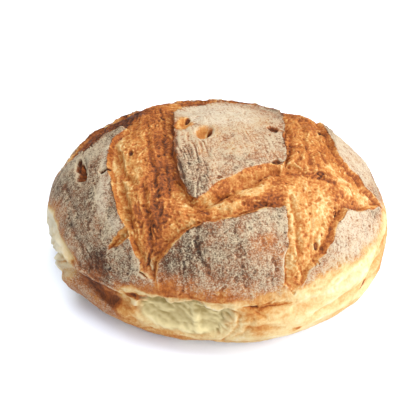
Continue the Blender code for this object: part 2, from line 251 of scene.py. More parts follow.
# Single holes and pits: place in plan, length, width (mm), turn (degrees), depth (mm)
HOLE_EDGE = 1.25
HOLE_BLEND = 0.6
HOLE_UNEVEN = 0.25
HOLE_RIM_SIZE = 3 * MM
HOLES = [
    Hollow("bubble_mouth", -21.5, 23, 7, 3.4, 70, 2.0),
    Hollow("dimple_wall", -5, 8, 8, 4.5, 75, 2.0),
    Hollow("corner_pit", 41.5, 14.5, 10, 7, 110, 3.0),
    Hollow("corner_pit_low", 42, -24, 6, 4, 20, 1.8),
    Hollow("skin_spot", 2, -41, 5, 3.5, 0, 1.2),
    Hollow("slit_bottom", -100.5, -2, 17, 4.6, 100, 4.6),
    Hollow("slit_lower", -98.5, -12, 9, 6, 80, 4.2),
    Hollow("side_slit", -80, -19, 7, 4.5, 10, 3.4),
    Hollow("ledge_hole", 74, -25, 5, 3.5, 0, 1.8),
    Hollow("tear_hole", 84, -52, 5, 3, 70, 1.6),
    Hollow("tear_hole_low", 69, -77, 4, 3, 70, 1.4),
    Hollow("high_hole", 78, 30, 4, 6, 0, 2.0),
    Hollow("golden_pit", -62, -8, 6, 3.4, 95, 1.6),
    Hollow("brown_pit", -38, -62, 6, 3.4, 80, 1.2),
    Hollow("brown_pit_low", -47, -85, 6, 3.4, 60, 1.6),
    Hollow("cross_pit", 18, -60, 4, 3, 10, 0.9),
    Hollow("cross_pit_right", 33, -58, 6, 3, 10, 1.0),
]

# Folds of the flank: bearing (degrees) and height (mm) of their points, half width and depth (mm)
FLANK_RADIUS = 115 * MM
FOLD_WANDER = 1.2 * MM
FOLD_WANDER_SIZE = 7 * MM
FLANK_CREASES = [
    Crease("left_fold_high", [(-179, 30), (-176, 44), (-168, 54), (-158, 56), (-150, 51)], 2.4, 3.0),
    Crease("left_fold_mid", [(-176, 8), (-170, 26), (-164, 38), (-156, 47)], 2.2, 3.0),
    Crease("left_fold_between", [(-180, 20), (-173, 36), (-166, 47), (-157, 51)], 1.8, 2.2),
    Crease("left_strand_high", [(-180, 40), (-175, 51), (-168, 60), (-161, 60)], 1.1, 1.5),
    Crease("left_strand", [(-177, 18), (-171, 32), (-165, 42), (-156, 51)], 1.0, 1.5),
    Crease("left_strand_low", [(-170, 10), (-166, 24), (-160, 36), (-153, 46)], 1.1, 1.5),
    Crease("roll_top", [(-162, 20), (-156, 33), (-149, 43), (-141, 47), (-131, 46), (-125, 42)], 2.2, 2.0),
    Crease("lip_top", [(-151, 55), (-142, 52), (-134, 50), (-126, 51)], 1.5, 1.4),
    Crease("window_top", [(-126, 49), (-118, 50), (-110, 53), (-100, 55), (-92, 52), (-86, 49)], 2.0, 2.4),
    Crease("window_right", [(-86, 50), (-82, 42), (-82, 34), (-85, 24), (-88, 14)], 1.5, 1.8),
    Crease("front_crease", [(-80, 50.5), (-74, 49), (-62, 46.5)], 0.8, 1.0),
    Crease("front_crease_low", [(-76, 46), (-72, 41)], 1.0, 0.8),
    Crease("front_stretch", [(-88, 14), (-80, 26), (-77, 40)], 1.2, 0.9),
    Crease("right_fold_high", [(-62, 44), (-50, 50), (-38, 52), (-26, 50), (-12, 52)], 1.8, 1.3),
    Crease("right_fold", [(-54, 34), (-42, 39), (-28, 39), (-14, 43), (-2, 44)], 2.0, 1.4),
    Crease("right_fold_low", [(-44, 20), (-30, 25), (-16, 27), (-4, 33)], 2.0, 1.3),
    Crease("right_fold_end", [(-10, 64), (0, 52), (12, 44), (24, 40)], 2.2, 1.6),
    Crease("side_fold", [(20, 60), (30, 44), (36, 26)], 2.2, 1.6),
    Crease("rear_fold", [(60, 50), (74, 36), (84, 20)], 2.2, 1.6),
    Crease("rear_fold_mid", [(100, 52), (112, 40), (124, 28)], 2.2, 1.6),
    Crease("rear_fold_left", [(140, 46), (150, 38), (160, 24)], 2.2, 1.6),
    Crease("rear_strand", [(88, 47), (99, 40), (112, 44), (121, 38)], 1.3, 1.4),
    Crease("rear_strand_low", [(118, 26), (132, 31), (146, 27), (158, 32)], 1.3, 1.3),
]

# Skin of the crown ends here: bearing (degrees), height (mm), how brown it is along its end and how much of
# its flour it keeps there
SkinEnd = namedtuple("SkinEnd", "bearing height bake flour_kept")
SKIN_ENDS = [
    SkinEnd(-180, 54, 0.50, 0.70), SkinEnd(-176, 58, 0.50, 0.70), SkinEnd(-170, 65, 0.55, 0.75),
    SkinEnd(-164, 66, 0.54, 0.80), SkinEnd(-157, 61, 0.54, 0.85), SkinEnd(-150, 57, 0.58, 0.90),
    SkinEnd(-143, 53, 0.72, 0.90), SkinEnd(-134, 50, 0.76, 0.80), SkinEnd(-127, 52, 0.64, 0.60),
    SkinEnd(-119, 57, 0.54, 0.40), SkinEnd(-110, 60, 0.50, 0.30), SkinEnd(-90, 59, 0.46, 0.30),
    SkinEnd(-80, 56, 0.40, 0.30), SkinEnd(-72, 54, 0.36, 0.30), SkinEnd(-65, 57, 0.34, 0.30),
    SkinEnd(-55, 60, 0.32, 0.30), SkinEnd(-40, 61, 0.32, 0.30), SkinEnd(-28, 60, 0.33, 0.30),
    SkinEnd(-18, 58, 0.34, 0.30), SkinEnd(-8, 60, 0.36, 0.30), SkinEnd(5, 54, 0.38, 0.30),
    SkinEnd(30, 50, 0.45, 0.30),
    SkinEnd(50, 58, 0.40, 0.30), SkinEnd(64, 47, 0.52, 0.50), SkinEnd(84, 60, 0.46, 0.35),
    SkinEnd(98, 50, 0.56, 0.60), SkinEnd(110, 56, 0.48, 0.40), SkinEnd(123, 45, 0.58, 0.60),
    SkinEnd(138, 60, 0.46, 0.35), SkinEnd(152, 50, 0.54, 0.60), SkinEnd(165, 57, 0.50, 0.60),
    SkinEnd(173, 49, 0.54, 0.70), SkinEnd(180, 54, 0.50, 0.70),
]
SKIN_END_BLEND = 8 * MM
SKIN_END_FADE = 15 * MM
FLOUR_FADE = 6 * MM

# How brown the crust is (0 cream, 1 burnt) and how much flour lies on it. A tone has a place, half sizes,
# a turn, a browning, a flour and a strength. Crown and floor tones lie in plan (mm), flank tones by bearing
# and height (degrees, mm).
Tone = namedtuple("Tone", "name x y length width turn bake flour strength")
SKIN_BASE = (0.78, 0.5)
SKIN_TONES = [
    Tone("centre plate", 9, 2, 62, 44, 90, 0.5, 0.7, 1.0),
    Tone("centre plate top", 0, 34, 34, 20, 0, 0.42, 0.96, 0.9),
    Tone("centre plate left low", -17, -34, 26, 12, 110, 0.78, 0.44, 0.9),
    Tone("centre plate low edge", 22, -28, 26, 9, 20, 0.72, 0.58, 0.7),
    Tone("bubble", -24, 18, 10, 6, 80, 0.42, 0.0, 1.0),
    Tone("dimple", -9, 7, 8, 6, 60, 0.46, 0.05, 1.0),
    Tone("bald oval", 9, 0, 5, 3, 30, 0.75, 0.45, 0.7),
    Tone("bald oval low", 10, -23, 6, 3, 10, 0.75, 0.45, 0.7),
    Tone("left plate", -98, -16, 50, 28, 80, 0.84, 0.4, 1.0),
    Tone("left plate top", -92, 6, 26, 12, 0, 0.76, 0.8, 0.9),
    Tone("left plate inner edge", -80, -30, 46, 6, 85, 0.6, 0.98, 0.8),
    Tone("left plate dust", -70, -66, 8, 12, 20, 0.70, 0.95, 0.8),
    Tone("left plate low", -90, -62, 30, 12, -45, 0.80, 0.45, 0.9),
    Tone("left plate end", -84, -80, 16, 9, -45, 0.84, 0.14, 1.0),
    Tone("corner pit", 41.5, 14.5, 6, 4, 110, 0.64, 0.0, 0.9),
    Tone("front plate", 2, -88, 52, 26, 0, 0.74, 0.44, 1.0),
    Tone("front plate left", -27, -92, 20, 13, 20, 0.88, 0.26, 1.0),
    Tone("front plate corner", 34, -70, 20, 9, 10, 0.66, 0.72, 0.9),
    Tone("front plate right", 34, -88, 14, 12, 0, 0.6, 0.36, 0.9),
    Tone("front plate patch", 34, -94, 6, 5, 0, 0.6, 0.8, 0.6),
    Tone("right front plate", 103, -62, 34, 22, 50, 0.52, 0.84, 1.0),
    Tone("right front plate edge", 94, -51, 12, 8, 60, 0.46, 0.9, 0.9),
    Tone("right front plate low", 82, -86, 22, 9, 40, 0.42, 0.72, 0.8),
    Tone("right rear plate", 102, 16, 42, 18, 90, 0.48, 0.86, 1.0),
    Tone("rear plates", 10, 92, 70, 20, 0, 0.74, 0.66, 1.0),
    Tone("rear left plate", -92, 72, 34, 22, 35, 0.80, 0.60, 1.0),
    Tone("rear right plate", 88, 78, 32, 20, -38, 0.66, 0.75, 1.0),
]
FLOOR_BASE = (0.48, 0.0)
FLOOR_TONES = [
    Tone("left cut golden side", -66, -20, 70, 13, 88, 0.39, 0.0, 0.9),
    Tone("left ear", -74, -14, 50, 5, 88, 0.34, 0.0, 0.9),
    Tone("left cut brown side", -39, -14, 62, 11, 90, 0.61, 0.0, 1.0),
    Tone("left cut top", -52, 36, 22, 16, 0, 0.55, 0.0, 0.8),
    Tone("left cut low", -50, -66, 24, 10, 100, 0.5, 0.0, 0.8),
    Tone("left cut tip", -50, -88, 9, 6, 60, 0.38, 0.15, 0.9),
    Tone("deep brown", -40, -66, 20, 6, 85, 0.66, 0.0, 0.9),
    Tone("left cut foot", -45, -79, 9, 6, 60, 0.6, 0.0, 0.9),
    Tone("notch", -69, -71, 8, 4, 20, 0.34, 0.0, 0.9),
    Tone("centre slope", 18, -42, 28, 9, 22, 0.45, 0.0, 1.0),
    Tone("centre slope left", 3, -49, 7, 5, 30, 0.58, 0.0, 0.7),
    Tone("cross cut left", -28, -61, 8, 7, 0, 0.5, 0.0, 0.9),
    Tone("cross cut middle", 8, -61, 12, 5, 5, 0.36, 0.0, 0.9),
    Tone("cross cut bright", -12, -61, 12, 4.5, 5, 0.33, 0.0, 1.0),
    Tone("cross cut red", 32, -56, 15, 5, 8, 0.6, 0.0, 1.0),
    Tone("cross cut gold", 24, -49, 16, 4, 20, 0.32, 0.0, 0.9),
    Tone("front ear", 12, -69, 44, 3, 7, 0.42, 0.0, 0.9),
    Tone("right cut low", 66, -60, 36, 18, 90, 0.35, 0.0, 1.0),
    Tone("right cut low gold", 51, -72, 26, 4, 90, 0.27, 0.0, 0.9),
    Tone("right cut edge", 82, -62, 24, 5, 62, 0.56, 0.0, 0.9),
    Tone("right cut high", 68, 10, 40, 19, 90, 0.5, 0.0, 1.0),
    Tone("right cut high edge", 83, 22, 26, 5, 84, 0.52, 0.0, 0.9),
    # Painted shadow under the ledge of the right cut's floor
    Tone("ledge dark", 70, -29, 22, 2.2, -5, 0.6, 0.0, 0.9),
    Tone("right gold", 100, -27, 26, 9, -22, 0.34, 0.0, 1.0),
    Tone("ledge end", 90, -15, 10, 8, 0, 0.52, 0.0, 0.9),
    Tone("rear left cut", -84, 40, 36, 18, 35, 0.80, 0.0, 1.0),
    Tone("rear cut", 6, 64, 50, 9, 0, 0.64, 0.0, 1.0),
]
FLANK_TONES = [
    Tone("left cream", -170, 34, 21, 34, 0, 0.02, 0.0, 1.0),
    Tone("left roll", -143, 24, 15, 24, 0, 0.52, 0.28, 1.0),
    Tone("left fold", -152, 41, 6, 8, 0, 0.3, 0.6, 0.9),
    Tone("recess left", -139, 39, 11, 8, 0, 0.66, 0.1, 0.9),
    # The crust is painted darkest in the left flank's deep recess
    Tone("burnt recess", -136, 36.5, 7, 11, 0.93, 0.8, 0.0, 1.0),
    Tone("recess lip", -139, 50, 12, 4.5, 0, 0.66, 0.3, 0.9),
    Tone("roll end", -126, 24, 5, 18, 0, 0.40, 0.0, 0.9),
    Tone("tan foot", -112, 11, 22, 9, 0, 0.38, 0.0, 0.9),
    Tone("window notch", -121, 47, 5, 2.4, 0, 0.66, 0.0, 1.0),
    Tone("golden band", -100, 59, 26, 4.5, 0, 0.6, 0.0, 0.9),
    Tone("front gold", -73, 40, 8, 15, 0, 0.35, 0.0, 1.0),
    Tone("front peach", -58, 30, 14, 30, 0, 0.21, 0.0, 0.8),
    Tone("front crease", -72, 48.6, 9, 1.2, -3, 0.54, 0.0, 1.0),
    Tone("right cream", -36, 40, 22, 32, 0, 0.2, 0.0, 1.0),
    Tone("foot streaks", -38, 13, 9, 9, 0, 0.31, 0.0, 0.8),
    Tone("foot spot", -31, 30, 1.6, 3, 0, 0.66, 0.0, 1.0),
    Tone("foot spot low", -40, 23.5, 5, 1.8, 0, 0.62, 0.0, 1.0),
    Tone("foot spot left", -61, 25, 1.6, 1.6, 0, 0.60, 0.0, 1.0),
    Tone("right side", 6, 34, 34, 28, 0, 0.34, 0.05, 1.0),
    Tone("rear gold", 75, 38, 32, 22, 0, 0.40, 0.05, 1.0),
    Tone("rear cream", 128, 36, 26, 24, 0, 0.20, 0.05, 1.0),
]
FLANK_BASE = (0.23, 0.05)
# Painted shade of the torn crumb, carried in its browning: dark under the skin's edge, lighter on the low
# rim, the web and at the right end
CRUMB_SHADE_BASE = (0.50, 0.0)
CRUMB_SHADE_TONES = [
    Tone("under the skin", -106, 46, 18, 6, 0.25, 0.95, 0.0, 0.9),
    Tone("low rim", -108, 25, 16, 5, 0.6, 0.08, 0.0, 0.9),
    Tone("web", -99, 34, 1.8, 14, 0.15, 0.12, 0.0, 0.6),
    Tone("right end", -85, 34, 5, 12, 0, 0.15, 0.0, 0.8),
]
FOOT_BAKE = 0.40
FOOT_BAKED = 7 * MM
FOOT_PATCHED = 0.7
UNDER_EDGE = 3 * MM
STRETCH_BAKE = 0.10
UNDER_BAKE = 0.60

# The torn patch down to the crumb, by bearing and height (degrees, mm)
CRUMB_PLACE = (-103, 36)
CRUMB_HALF = (20, 16)
CRUMB_DEPTH = 4.8 * MM
CRUMB_UNDERCUT = (32 * MM, 50 * MM)
CRUMB_CELLS = [
    FlankForm("left_cell", -111, 39, 11, 11, -3.0, 0.0),
    FlankForm("right_cell", -91, 36, 7, 14, -2.6, 0.1),
    FlankForm("low_ridge", -108, 24, 14, 4, 2.2, -0.6),
    FlankForm("web", -98, 34, 1.8, 16, 1.3, 0.1),
    FlankForm("web_hole", -87, 47, 2.6, 3.2, -3.0, 0.0),
]
CRUMB_EDGE = 1.05
CRUMB_EDGE_BLEND = 0.3
LEAST_SUNK = 0.1
CRUMB_RIM = 1.0 * MM
CRUMB_RIM_REACH = 1.10
CRUMB_RIM_WIDTH = 0.13
CRUMB_FOLD_SIZE = (20 * MM, 6 * MM, MM)
CRUMB_FOLD_DEPTH = 0.8 * MM
CRUMB_THREAD_SIZE = (14 * MM, 2.2 * MM, MM)
CRUMB_THREAD_DEPTH = 0.4 * MM
CRUMB_BEND = 2 * MM
CRUMB_BEND_SIZE = 12 * MM
CRUMB_SLANT = 0.4
# Painted shade: the crumb is painted darker where its folds and threads sink deeper
CRUMB_FOLD_SHADE = 0.28
CRUMB_SHADE_MIDDLE = 0.2

# Skin of the centre plate that wrinkled as it set
WRINKLED = Hollow("wrinkled skin", -16, -22, 66, 30, 105, 0.55)

WRINKLED_REACH = 1.5
LEAST_WRINKLED = 0.25
WRINKLE_DEPTH = 1.6 * MM
WRINKLE_SLANT = 0.26
WRINKLE_WANDER = 1 * MM
WRINKLE_WANDER_SIZE = 8 * MM

# Long ridges: width, length, height (a share, for wrinkles and stretch marks) and seed of their noise
Ridge = namedtuple("Ridge", "width length height seed")
WRINKLES = [Ridge(2.8 * MM, 16 * MM, 1.0, 87), Ridge(1.7 * MM, 7 * MM, 0.6, 88)]
STRETCHES = [Ridge(6 * MM, 30 * MM, 0.6, 91), Ridge(2.6 * MM, 15 * MM, 0.4, 92)]
STRANDS = [
    Ridge(6.5 * MM, 18 * MM, 0.9 * MM, 51),
    Ridge(3 * MM, 7 * MM, 0.65 * MM, 61),
    Ridge(1.7 * MM, 3 * MM, 0.4 * MM, 65),
]
STRAND_BEND = 0.9
STRAND_BEND_SIZE = 2.2
STRAND_SHARPNESS = 1.6

# Blisters and pits of the torn floors, and waves and dents of the skin
TORN_BLEND = 1.5 * MM
TORN_LUMP_SIZE = 8 * MM
TORN_LUMP_HEIGHT = 0.7 * MM
TORN_PIT_SIZE = 2.8 * MM
TORN_PIT_DEPTH = 0.8 * MM
TORN_PIT_FROM = 0.25
TORN_PIT_BLEND = 0.4
WAVE_SIZE = 10 * MM
WAVE_HEIGHT = 0.7 * MM
DENT_SIZE = 3.6 * MM
DENT_DEPTH = 0.6 * MM
DENT_FROM = 0.5
DENT_BLEND = 0.25

# Skin stretched round the flank
STRETCH_HEIGHT = 0.9 * MM
STRETCH_SLANT = 0.15
FLANK_LUMP_SIZE = 14 * MM
FLANK_LUMP_HEIGHT = 0.8 * MM

# Layers of noise: size, height (or share) and seed
FLOUR_RELIEF = [(1.5 * MM, 0.16 * MM, 81), (2.8 * MM, 0.16 * MM, 82)]
STRETCH_WANDER = [(16 * MM, 3 * MM, 90), (6 * MM, 1 * MM, 95)]
FLANK_GRAIN = [(2.2 * MM, 0.18 * MM, 93)]
CRUMB_RAGGED = [(9 * MM, 0.22, 101), (3 * MM, 0.08, 102)]
SKIN_END_WAVES = [(14 * MM, 3 * MM, 111), (4 * MM, 2 * MM, 112)]
TONE_WANDER = [(11 * MM, 2.5 * MM, 121), (3 * MM, 1.2 * MM, 124)]
BAKE_WAVES = [(10 * MM, 0.10, 131), (3.5 * MM, 0.08, 132)]
FOOT_PATCHES = [(12 * MM, 1.2, 133)]
CREASE_UNEVEN = [(4 * MM, 0.5, 31)]
FOLD_UNEVEN = [(9 * MM, 0.45, 35)]

# Soft edges of the tones: where they end, as a share of their half sizes, and over what share they fade
TONE_EDGE = 1.2
TONE_BLEND = 0.5

# Farther from a torn side than this, its drop has no say
FARTHEST_SIDE = 45 * MM

# Bare crust along the torn edges, and painted shade in the holes, darker the deeper they lie
EDGE_WIDTH = 0.9 * MM
EDGE_BAKE = 0.48
EDGE_BARE = 0.35
WALL_WIDTH = 2.6 * MM
WALL_BAKE = 0.46
WALL_SHARE = 0.6
HOLE_SHADE_DEPTH = 2.2 * MM
HOLE_SHADE = 0.72

# Painted shade: cracks are painted darker and ridges lighter, as cracks catch less light
HOLLOW_ROUNDS = 4
HOLLOW_SCALE = 0.5 * MM
CRACK_SHADE = 0.24

# Grain of the crust: size (mm), detail and roughness of its noise. Flour's real grain is too fine to show, so
# it is drawn as coarse as it needs to show.
FLOUR_GRAIN = (1.1, 3.0, 0.7)
MOTTLE = (8.0, 4.0, 0.6)
FIBRE = (1.8, 3.0, 0.65)
CRUMB_CELL = 3.0
GRAIN_HEIGHT = 0.5

# How much the grain changes the browning, and how thickly flour covers
SPECK_BAKE = 0.50
TORN_SPECK_BAKE = 0.40
MOTTLE_BAKE = 0.35
HAZE_COVER = 0.52
FLOUR_COVER = 0.88
FULL_SPREAD_BAKE = 0.60
PALE_SPREAD = 0.20
DUSTING_GRAIN = 4.0
DUSTING_MOTTLE = 1.8
DUSTING_LIMITS = (0.1, 1.1)
FLOURY_FROM = 0.25
THICK_FLOUR = (0.72, 1.02)

# How the crumb darkens: in its cells, and as painted shade in its hollows and under the skin's edge
CRUMB_LIGHT = 0.75
CRUMB_CELL_LIGHT = 0.4
CRUMB_HOLLOW_SHADE = 0.9
CRUMB_BAKE_SHADE = 0.85

# Gloss: flour and skin are matt, torn crust less so, and none of it shines like a coat
SKIN_ROUGHNESS = 0.86
TORN_ROUGHNESS = 0.60
CRUST_SPECULAR = 0.2
SPECK_HEIGHT = 0.6

# Noise: how its grid is turned, so that it shows no rows, and the steps that number its cells
GRAIN_TURN = np.array(Matrix.Rotation(0.7, 3, "Z") @ Matrix.Rotation(0.5, 3, "X"))
CELL_STEPS = (374761393, 668265263, 2147483647)
SEED_STEP = 1442695041
KEY_MIX = 1274126177
HALF_RANGE = 0xFFFF / 2
ROUGH_OCTAVES = 3
ROUGH_SPREAD = 1.4

# Studio
LOOK_AT = (0, 0, 45.5 * MM)
CAMERA_PITCH = 40
CAMERA_DISTANCE = 0.774
CAMERA_LENS = 87.2
CAMERA_SIDE = -4.6 * MM
CAMERA_RAISE = 2.0 * MM
Lamp = namedtuple("Lamp", "name place size watts")
LAMPS = [
    Lamp("right", (0.95, -0.10, 0.45), 0.6, 10.5),
    Lamp("left", (-0.95, -0.10, 0.50), 0.6, 1.5),
    Lamp("front right", (0.65, -0.75, 0.60), 0.7, 8.5),
    Lamp("front", (0.0, -1.0, 0.5), 0.9, 4.8),
    Lamp("over left", (-0.35, 0.10, 1.00), 0.6, 7.0),
    Lamp("over back", (0.15, 0.50, 0.90), 0.6, 4.8),
    Lamp("top", (0.10, 0.0, 1.10), 1.6, 5.5),
]
ROOM_STRENGTH = 0.08
ROOM_COLOUR = "#E4ECFF"
FLOOR_COLOUR = "#EDF3FF"


def smooth(share):
    """0 below 0, 1 above 1, with a smooth rise between."""
    share = np.clip(share, 0.0, 1.0)
    return share * share * (3.0 - 2.0 * share)


def degrees_round(points):
    """Bearing of each point round the loaf, in degrees: 0 is its right, -90 its front."""
    return np.degrees(np.arctan2(points[:, 1], points[:, 0]))


def within_half_turn(degrees):
    """Degrees brought between -180 and 180."""
    return (degrees + 180) % 360 - 180


def belly_radius(bearing):
    """The loaf's radius in plan at its widest level."""
    mean = (LOAF_WIDTH + LOAF_DEPTH) / 4
    oval = (LOAF_WIDTH - LOAF_DEPTH) / (LOAF_WIDTH + LOAF_DEPTH)
    uneven = OVAL_SKEW * np.sin(2 * bearing) + EGG_SHARE * np.sin(3 * bearing)
    return mean * (1 + oval * np.cos(2 * bearing) + uneven)


def crown_height(x, y):
    """Height of the smooth crown over a place in plan."""
    share = np.minimum(np.hypot(x, y) / belly_radius(np.arctan2(y, x)), 1.0)
    rise = (1 - share**CROWN_ROUNDNESS) ** (1 / CROWN_FULLNESS)
    return BELLY_HEIGHT + (LOAF_HEIGHT - BELLY_HEIGHT) * rise


def foot_share(bearing):
    """The foot's radius as a share of the belly's: the dough spread further in some places than in others."""
    share = np.full(np.shape(bearing), FOOT_SHARE)
    for place, half_width, more in FOOT_SPREADS:
        off = within_half_turn(np.degrees(bearing) - place)
        share += more * np.exp(-((off / half_width) ** 2))
    return share


def section(turns, foot):
    """Radius share and height round the section: 0 the top, 1 the belly, 2 the foot, 3 the middle below."""
    crown = np.clip(turns, 0, 1) * math.pi / 2
    flank = np.clip(turns - 1, 0, 1) * math.pi / 2
    below = np.clip(turns - 2, 0, 1)
    share = np.sin(crown) ** (2 / CROWN_ROUNDNESS) - (1 - foot) * (1 - np.cos(flank)) - foot * below
    above_belly = (LOAF_HEIGHT - BELLY_HEIGHT) * np.cos(crown) ** (2 / CROWN_FULLNESS)
    return share, above_belly + BELLY_HEIGHT * (1 - np.sin(flank))


def place_on_loaf(directions):
    """Carries points of a unit ball to the loaf, evenly along its section."""
    bearing = np.arctan2(directions[:, 1], directions[:, 0])
    polar = np.degrees(np.arccos(np.clip(directions[:, 2], -1, 1)))
    steps = np.linspace(0, 3, 601)
    share, height = section(steps, FOOT_SHARE)
    run = np.hypot(np.diff(share * (LOAF_WIDTH + LOAF_DEPTH) / 4), np.diff(height))
    length = np.concatenate([[0], np.cumsum(run)])
    belly, foot = np.interp([1, 2], steps, length)
    wanted = np.interp(polar, [0, CROWN_ANGLE, FLANK_ANGLE, 180], [0, belly, foot, length[-1]])
    share, height = section(np.interp(wanted, length, steps), foot_share(bearing))
    radius = belly_radius(bearing) * share
    return np.stack([radius * np.cos(bearing), radius * np.sin(bearing), height], axis=1)


def on_crown(points):
    """A chain of points in plan (mm), split into short steps and lifted to the smooth crown."""
    plan = [np.array(points[:1], float)]
    for start, end in zip(points[:-1], points[1:]):
        count = math.ceil(math.dist(start, end) / CHAIN_STEP)
        plan.append(np.linspace(start, end, count + 1)[1:])
    plan = np.concatenate(plan) * MM
    return np.column_stack([plan, crown_height(plan[:, 0], plan[:, 1])])


def inside_loop(points, loop):
    """Whether each point lies inside a closed loop, both seen in plan."""
    inside = np.zeros(len(points), bool)
    x, y = points[:, 0], points[:, 1]
    for (x0, y0), (x1, y1) in zip(loop, loop[1:] + loop[:1]):
        if y0 == y1:
            continue
        crosses = ((y0 > y) != (y1 > y)) & (x < (x1 - x0) * (y - y0) / (y1 - y0) + x0)
        inside ^= crosses
    return inside


def loop_of(sides):
    """The closed loop in plan, in metres, that a ring of torn sides makes."""
    return [(x * MM, y * MM) for side in sides for x, y in side.points[:-1]]


def in_open_cut(points):
    """Whether each point is on a torn floor: inside the outer plates' ring and off the centre plate."""
    on_top = points[:, 2] > SKIN_BOTTOM
    return on_top & inside_loop(points, loop_of(OUTER_SIDES)) & ~inside_loop(points, loop_of(CENTRE_SIDES))


def cut_relief(points, opened, distance, drop, run):
    """Height of the torn floors below the skin, and of the plates' lifted lips above it."""
    height_share = (points[:, 2] - SKIN_BOTTOM) / (FULL_DROP_HEIGHT - SKIN_BOTTOM)
    taper = TIP_DROP_SHARE + (1 - TIP_DROP_SHARE) * smooth(height_share)
    fall = smooth(distance / run)
    bulge = BULGE_SHARE * (1 - np.exp(-np.maximum(distance - run, 0) / BULGE_WIDTH))
    floor = -drop * taper * fall * (1 - bulge)
    lip = LIP_SHARE * drop * taper * np.exp(-distance / LIP_WIDTH) * (run < WIDEST_LIPPED_RUN)
    return np.where(opened, floor + lip * (1 - fall), lip)


def ledge_relief(points, opened):
    """The step in the right cut's floor, higher behind its torn line."""
    line = np.array(LEDGE_LINE) * MM
    line_y = np.interp(points[:, 0], line[:, 0], line[:, 1])
    behind = points[:, 1] - line_y
    starts = smooth((points[:, 0] - line[0, 0]) / LEDGE_START)
    ends = smooth((line[-1, 0] - points[:, 0]) / LEDGE_END)
    slopes_off = 1 - smooth((behind - LEDGE_TOP) / LEDGE_BACK)
    return LEDGE_STEP * smooth(behind / LEDGE_RUN) * starts * ends * slopes_off * opened


def oval_reach(points, form, share=0.5):
    """How far each point is from the middle of a turned oval lying in plan: 1 at its edge."""
    turn = math.radians(form.turn)
    dx, dy = points[:, 0] - form.x * MM, points[:, 1] - form.y * MM
    along = (dx * math.cos(turn) + dy * math.sin(turn)) / (form.length * share * MM)
    across = (dy * math.cos(turn) - dx * math.sin(turn)) / (form.width * share * MM)
    return np.hypot(along, across)


def hollow_relief(points):
    """Dimples, burst bubbles and fissures of the crown."""
    return -sum(hollow.depth * MM * smooth(FORM_REACH - oval_reach(points, hollow)) for hollow in HOLLOWS)


def form_relief(points, forms):
    """Hollows and rolls of the flank."""
    bearing, height = degrees_round(points), points[:, 2] / MM
    relief = np.zeros(len(points))
    for form in forms:
        off = within_half_turn(bearing - form.bearing + form.slant * (height - form.height))
        reach = np.hypot(off / form.half_bearing, (height - form.height) / form.half_height)
        relief += form.depth * MM * smooth(FORM_REACH - reach)
    return relief


def flank_relief(points):
    """Folds, recess and torn crumb patch of the flank, and the skirt where the skin ends."""
    return form_relief(points, FLANK_FORMS) + skirt_relief(points, np.arctan2(points[:, 1], points[:, 0]))


def skirt_relief(points, turn):
    """The low wavy bead round the loaf where the skin of the crown ends."""
    level = SKIRT_HEIGHT + SKIRT_WAVE * (np.sin(2 * turn + 0.6) + 0.5 * np.sin(5 * turn))
    strength = SKIRT_STEP * (0.6 + 0.4 * np.sin(3 * turn + 1.2))
    return strength * np.exp(-(((points[:, 2] - level) / SKIRT_WIDTH) ** 2))


def swell_relief(points):
    """The slow swell of the dough."""
    return SWELL_HEIGHT * np.array([noise.noise(Vector(point) / SWELL_LENGTH) for point in points])


def random_of(keys):
    """A steady random number from -1 to 1 for each whole number."""
    mixed = (keys ^ (keys >> 13)) * KEY_MIX
    return ((mixed ^ (mixed >> 16)) & 0xFFFF) / HALF_RANGE - 1


def noise_at(places, size, seed=0, turned=True):
    """Smooth noise from -1 to 1 whose bumps are about size apart; size may differ along X, Y and Z."""
    scaled = (places @ GRAIN_TURN if turned else places) / size
    cell = np.floor(scaled)
    part = scaled - cell
    part *= part * (3 - 2 * part)
    keys = [cell[:, axis].astype(np.int64) * step for axis, step in enumerate(CELL_STEPS)]
    total = np.zeros(len(places))
    for corner in np.ndindex(2, 2, 2):
        weight, key = 1, seed * SEED_STEP
        for axis, upper in enumerate(corner):
            weight = weight * (part[:, axis] if upper else 1 - part[:, axis])
            key = key + keys[axis] + upper * CELL_STEPS[axis]
        total += weight * random_of(key)
    return total


def rough_noise_at(places, size, seed=0, turned=True):
    """Noise of several sizes together, each half as large and half as strong as the one before."""
    halvings = [2**octave for octave in range(ROUGH_OCTAVES)]
    layers = [noise_at(places, size / half, seed + i, turned) / half for i, half in enumerate(halvings)]
    return sum(layers) / ROUGH_SPREAD


def layered_noise(points, layers):
    """Noises added up, each given by its size, its height and its seed."""
    return sum(height * noise_at(points, size, seed) for size, height, seed in layers)


def nearest_on(points, line):
    """For each point, its distance to a chain of points and the nearest place on it."""
    best = np.full(len(points), np.inf)
    place = np.zeros_like(points)
    for start, end in zip(line[:-1], line[1:]):
        along = end - start
        share = np.clip((points - start) @ along / (along @ along), 0, 1)
        near = start + share[:, None] * along
        off = points - near
        distance = np.einsum("ij,ij->i", off, off)
        closer = distance < best
        best[closer] = distance[closer]
        place[closer] = near[closer]
    return np.sqrt(best), place


def close_to(points, line, reach):
    """Which points lie in a box that reaches a little beyond a chain of points."""
    return np.all((points > line.min(axis=0) - reach) & (points < line.max(axis=0) + reach), axis=1)


